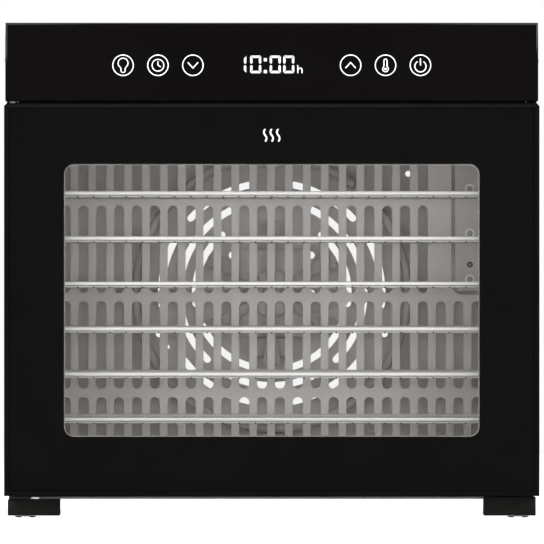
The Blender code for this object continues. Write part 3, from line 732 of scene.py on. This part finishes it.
def make_screws():
    low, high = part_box("rear_panel")
    y = high[1]
    inset = 0.010
    heads = []
    for x in (low[0] + inset, 0.0, high[0] - inset):
        heads += [pan_screw((x, y, z), "Y", 1) for z in (low[2] + inset, high[2] - inset)]
    middle = (low[2] + high[2]) / 2
    heads += [pan_screw((x, y, middle), "Y", 1) for x in (low[0] + inset, high[0] - inset)]
    add_piece("rear_panel_screws", joined(*heads), "cabinet", PLATED)
    left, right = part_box("side_panel_left"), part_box("side_panel_right")
    heads = []
    for z in (0.030, 0.295):
        for y in (left[0][1] + 0.020, left[1][1] - 0.020):
            heads.append(pan_screw((left[0][0], y, z), "X", -1))
            heads.append(pan_screw((right[1][0], y, z), "X", 1))
    add_piece("side_panel_screws", joined(*heads), "cabinet", DARK_STEEL)


def mirrored(angles):
    return [(180 - end, 180 - start) for start, end in angles]


def make_rear_panel():
    low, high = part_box("rear_panel")
    joints = frame["record"]["behaviour"]["joints"]
    hub_z = next(joint["pos_m"][2] for joint in joints if joint["name"] == "fan_spin")
    centre = (0, hub_z)
    slot_width = 0.0045
    # radius, the slots at the right as pairs of angles (mirrored to the left), and those that stand alone
    rings = (
        (0.0511, [(-77, -23), (-10.5, 52)], []),
        (0.0617, [(12, 68)], [(242, 298), (-48, 3), (192, 228)]),
        (0.0737, [(-80, -36), (-8, 30), (41, 80)], []),
    )
    outlines = [[(low[0], low[2]), (high[0], low[2]), (high[0], high[2]), (low[0], high[2])]]
    for radius, right_side, middle in rings:
        for start, end in right_side + mirrored(right_side) + middle:
            outlines.append(arc_slot(centre, radius, slot_width, start, end))
    # radius from the hub, angle, and the hole's own radius
    screw_holes = (
        (0.0364, 44, 0.0025), (0.0364, 136, 0.0025), (0.0266, 0, 0.0021), (0.0266, 180, 0.0021),
        (0.0801, 200, 0.0021), (0.0801, 340, 0.0021), (0.0783, 207.3, 0.0014),
    )
    for radius, angle, hole in screw_holes:
        outlines.append(circle(arc(centre, radius, angle, angle, 1)[0], hole, 20))
    outlines.append(circle((0.0911, hub_z + 0.0797), 0.0019, 20))
    inlet_low, inlet_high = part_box("mains_inlet")
    middle_x, middle_z = (inlet_low[0] + inlet_high[0]) / 2, (inlet_low[2] + inlet_high[2]) / 2
    mouth_x, mouth_z = 0.0141, 0.0103
    outlines.append([(middle_x - mouth_x, middle_z - mouth_z), (middle_x + mouth_x, middle_z - mouth_z),
                     (middle_x + mouth_x, middle_z + mouth_z), (middle_x - mouth_x, middle_z + mouth_z)])
    mesh = plate(outlines, high[1] - low[1], low[1], 0.0002)
    add_piece("rear_panel_finished", mesh, "cabinet", GALVANISED, ("rear_panel",))


# ---- drying chamber ------------------------------------------------------------------
def make_baffle():
    low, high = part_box("baffle_plate")
    columns, pitch, width = 24, 0.01187, 0.0066
    row_pitch, slot_height, middle = 0.0636, 0.0580, 0.1417
    plain_from, shift = 0.108, 0.0005
    outlines = [[(low[0], low[2]), (high[0], low[2]), (high[0], high[2]), (low[0], high[2])]]
    for row in range(4):
        centre = middle + (1.5 - row) * row_pitch
        bottom = max(centre - slot_height / 2, low[2] + 0.005)
        top = min(centre + slot_height / 2, high[2] - 0.005)
        for column in range(columns):
            x = (column - (columns - 1) / 2) * pitch - shift
            if x > plain_from and row < 2:
                continue
            outlines.append(obround(x, bottom, top, width))
    mesh = plate(outlines, high[1] - low[1], low[1], 0.00025)
    add_piece("baffle_plate_finished", mesh, "cabinet", STAINLESS, ("baffle_plate",))


def make_lamp_cover():
    """A pressed pan with round corners on a dark band, a painted shadow along its left and lower edges.
    Each lens sits in a raised eyelet whose near-white colour is a painted highlight.
    """
    low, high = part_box("lamp_cover")
    front, back = low[1], high[1]
    # The third and fourth numbers are the width and the lower edge of the dark painted shadow band left of
    # and below the pan.
    wall, corner, painted_light_band, shadow_band_low = 0.001, 0.0045, 0.0025, 0.1434
    pan_low = shadow_band_low + painted_light_band
    outline = rounded_rectangle((low[0], pan_low), (high[0], high[2]), corner)
    inner_low, inner_high = (low[0] + wall, pan_low + wall), (high[0] - wall, high[2] - wall)
    inner = rounded_rectangle(inner_low, inner_high, corner - wall)
    holes = []
    for name in ("upper", "middle", "lower"):
        lens_low, lens_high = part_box(f"lamp_lens_{name}")
        centre = ((lens_low[0] + lens_high[0]) / 2, (lens_low[2] + lens_high[2]) / 2)
        radius = (lens_high[0] - lens_low[0]) / 2
        holes.append(circle(centre, radius + 0.0002))
        place, bore, edge = (centre[0], front, centre[1]), radius * 0.60, radius + 0.0002
        rim = [(bore, 0.002), (bore, -0.0009), (bore + 0.0002, -0.0011), (edge - 0.0002, -0.0011),
               (edge, -0.0009), (edge, -0.0001), (radius, -0.0001), (radius, 0.002), (bore, 0.002)]
        # The eyelet's near-white colour is a painted highlight.
        add_piece(f"lamp_eyelet_{name}", turned(rim, place), "cabinet", EYELET_PAINTED_HIGHLIGHT)
        dome = [(0, 0.0001), (bore * 0.6, 0.0002), (bore * 0.97, 0.0006), (bore * 0.97, 0.004), (0, 0.004)]
        node = f"lamp_lens_{name}"
        add_piece(f"{node}_finished", turned(dome, place), "cabinet", LENS, (node,))
    probe_low, probe_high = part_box("temperature_probe")
    probe = ((probe_low[0] + probe_high[0]) / 2, (probe_low[2] + probe_high[2]) / 2)
    holes.append(circle(probe, 0.0019, 20))
    face = plate([outline] + holes, wall, front, 0.0003)
    skirt = plate([outline, inner], back - front - wall, front + wall * 0.9)
    pan = joined(face, skirt)
    add_piece("lamp_cover_finished", pan, "cabinet", LAMP_PAN, ("lamp_cover",))
    # A dark band behind the pan's left and lower edges: painted shadow where the pan's side shades the
    # baffle.
    over = 0.0003
    edge_low, edge_high = (low[0] - painted_light_band, shadow_band_low), (high[0] + over, high[2] + over)
    edge = rounded_rectangle(edge_low, edge_high, corner + painted_light_band)
    painted_shadow_band = plate([edge, outline], 0.0006, back - 0.0006)
    add_piece("lamp_cover_painted_shadow", painted_shadow_band, "cabinet", PROBE_GREY_AND_PAINTED_SHADOW)


def make_tray(number):
    """A rod loop with a welded mesh below it. The mesh wires' ends are painted dark: painted shade for the
    dark ticks in the rod's shade.
    """
    node = f"tray_{number}"
    low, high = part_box(node)
    rod, wire, pitch, count = 0.0012, 0.00045, 0.01045, 29
    rim_z = high[2] - rod
    loop = rounded_rectangle((low[0] + rod, low[1] + rod), (high[0] - rod, high[1] - rod), 0.014)
    rim = tube([(x, y, rim_z) for x, y in loop], rod, True, 5)
    add_piece(f"wire_{node}", rim, node, WIRE, (node,), 50)

    front, back = low[1] + rod, high[1] - rod
    cross_z, along_z = rim_z - 0.0021, rim_z - 0.0025
    reach = (count - 1) / 2 * pitch + 0.0018
    wires, ends = [], []
    for i in range(count):
        x = (i - (count - 1) / 2) * pitch
        wires.append(tube([(x, front, along_z), (x, back, along_z)], wire, False, 2))
        for y, side in ((front, -1), (back, 1)):
            out, thick, worn = side * 0.0009, wire * 1.25, wire
            tip = [(0, 0), (thick, 0), (thick, out * 0.7), (worn, out), (0, out)]
            ends.append(turned(tip, (x, y, along_z), "Y", 10))
    for i in range(7):
        y = front + 0.0004 + (back - front - 0.0008) * i / 6
        wires.append(tube([(-reach, y, cross_z), (reach, y, cross_z)], wire, False, 2))
    add_piece(f"mesh_{node}", joined(*wires), node, MESH_WIRE_PAINTED_SHADE, (), 50)
    add_piece(f"wire_ends_{node}", joined(*ends), node, WIRE_END_PAINTED_SHADE)


def make_liner():
    for side in ("left", "right", "ceiling", "floor"):
        softened(f"liner_{side}", "cabinet", STAINLESS_FLAT, 0.0003, 2)


# ---- fan and heater ------------------------------------------------------------------
def make_heater():
    """The ring heater, with two legs that run back from its open ends."""
    low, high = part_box("heater_element")
    hub_z = (low[2] + high[2]) / 2
    sheath, solid_sheath = 0.0031, 0.00325
    radius = (high[2] - low[2]) / 2 - solid_sheath
    ring_y = low[1] + solid_sheath
    ring = arc((0, hub_z), radius, 54, 396, 90)
    bend = 0.006
    legs = []
    for x, z in (ring[0], ring[-1]):
        leg = [(x, high[1], z), (x, ring_y + bend, z)]
        leg += [(x, ring_y + bend * (1 - math.sin(t)), z) for t in (0.4, 0.8, 1.2)]
        legs.append(leg)
    middle = [(x, ring_y, z) for x, z in ring[1:-1]]
    mesh = tube(legs[0] + middle + legs[1][::-1], sheath, False, 6)
    node = "heater_element"
    add_piece(node + "_finished", mesh, "cabinet", HEATER_STEEL, (node,), 60)


def set_material(surface, *nodes):
    for node in nodes:
        data = bpy.data.objects[node].data
        if not data.materials:
            data.materials.append(surface)
        for i in range(len(data.materials)):
            data.materials[i] = surface


def finish_inner_pieces():
    softened("fan_impeller", "fan", ALUMINIUM, 0.0003, 2)
    softened("fan_nut", "fan", PLATED, 0.0004, 2)
    softened("motor_stator", "cabinet", GALVANISED, 0.0004, 2)
    softened("motor_coil", "cabinet", WINDING, 0.0020, 3)
    softened("motor_bracket", "cabinet", GALVANISED, 0.0005, 2)
    softened("heater_bracket", "cabinet", GALVANISED, 0.0003, 2)
    softened("thermal_cutout", "cabinet", GALVANISED, 0.0003, 2)
    softened("power_board", "cabinet", BOARD, 0.0003, 2)
    set_material(GALVANISED, "motor_rotor", "door_magnet", "upper_hinge_bracket")
    set_material(PROBE_GREY_AND_PAINTED_SHADOW, "temperature_probe")
    set_material(PLATED, "magnet_strike", "lower_hinge_pin", "upper_hinge_pin")
    set_material(PLATED, "inlet_pin_live", "inlet_pin_neutral", "inlet_pin_earth")
    set_material(BLACK_PAINT, "lower_hinge_bracket")
    set_material(SILICONE, "door_gasket")
    set_material(BOARD, "lamp_board", "touch_sensor_film", "control_board")
    set_material(GLOSS_BLACK, "display_module")


# ---- camera, light and floor ---------------------------------------------------------
def make_camera():
    distance, field_width, centre_x, centre_z = 12.0, 0.3504, 0.00016, 0.1584
    data = bpy.data.cameras.new("camera")
    data.sensor_width = 36.0
    data.lens = data.sensor_width * distance / field_width
    data.clip_start, data.clip_end = 1.0, 40.0
    camera = bpy.data.objects.new("camera", data)
    camera.location = (centre_x, FRONT_Y - distance, centre_z)
    camera.rotation_euler = (math.pi / 2, 0, 0)
    bpy.context.scene.collection.objects.link(camera)
    bpy.context.scene.camera = camera


def area_light(name, place, target, size, watts, seen_in_gloss=True):
    data = bpy.data.lights.new(name, "AREA")
    data.shape = "RECTANGLE"
    data.size, data.size_y = size
    data.energy = watts
    light = bpy.data.objects.new(name, data)
    light.location = place
    aim = Vector(target) - Vector(place)
    light.rotation_euler = aim.to_track_quat("-Z", "Y").to_euler()
    light.visible_camera = False
    light.visible_glossy = seen_in_gloss
    bpy.context.scene.collection.objects.link(light)


def make_world():
    """White behind the object, and dim everywhere else so that the black front stays black."""
    world = bpy.data.worlds.new("studio")
    bpy.context.scene.world = world
    world.use_nodes = True
    tree = world.node_tree
    tree.nodes.clear()
    path = tree.nodes.new("ShaderNodeLightPath")
    white = tree.nodes.new("ShaderNodeBackground")
    white.inputs["Color"].default_value = (1, 1, 1, 1)
    white.inputs["Strength"].default_value = 1.0
    dim = tree.nodes.new("ShaderNodeBackground")
    dim.inputs["Color"].default_value = (1, 1, 1, 1)
    dim.inputs["Strength"].default_value = 0.06
    mix = tree.nodes.new("ShaderNodeMixShader")
    out = tree.nodes.new("ShaderNodeOutputWorld")
    tree.links.new(path.outputs["Is Camera Ray"], mix.inputs["Fac"])
    tree.links.new(dim.outputs["Background"], mix.inputs[1])
    tree.links.new(white.outputs["Background"], mix.inputs[2])
    tree.links.new(mix.outputs["Shader"], out.inputs["Surface"])


def make_studio():
    edit = bmesh.new()
    bmesh.ops.create_circle(edit, cap_ends=True, segments=64, radius=4.0)
    mesh = bpy.data.meshes.new("floor")
    edit.to_mesh(mesh)
    edit.free()
    mesh.materials.append(pale_floor("pale_floor"))
    floor = bpy.data.objects.new("floor", mesh)
    floor.location = (0, 0, -0.0002)
    floor.visible_glossy = False
    bpy.context.scene.collection.objects.link(floor)

    make_world()
    middle = (0, 0, 0.15)
    area_light("key_left", (-1.6, -2.1, 1.2), middle, (1.2, 1.2), 22)
    area_light("key_right", (1.6, -2.1, 1.2), middle, (1.2, 1.2), 22)
    area_light("top", (0, 0.1, 2.2), middle, (2.0, 2.0), 30)
    area_light("rear_left", (-1.6, 1.9, 1.2), middle, (1.0, 1.0), 20)
    area_light("rear_right", (1.6, 1.9, 1.2), middle, (1.0, 1.0), 20)
    area_light("front_fill", (0, -3.2, 0.21), middle, (1.6, 0.4), 84, False)
    behind_tray_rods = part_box("tray_1")[0][1] + 0.030
    area_light("chamber_fill", (0, behind_tray_rods, 0.20), (0, 0.30, 0.20), (0.30, 0.12), 0.035, False)
    view = bpy.context.scene.view_settings
    view.view_transform = "Standard"
    view.look = "None"


make_door()
make_control_head()
make_housing()
make_rear_panel()
make_baffle()
make_lamp_cover()
make_liner()
for tray_number in range(1, 7):
    make_tray(tray_number)
make_heater()
finish_inner_pieces()
make_camera()
make_studio()

bpy.context.view_layer.update()
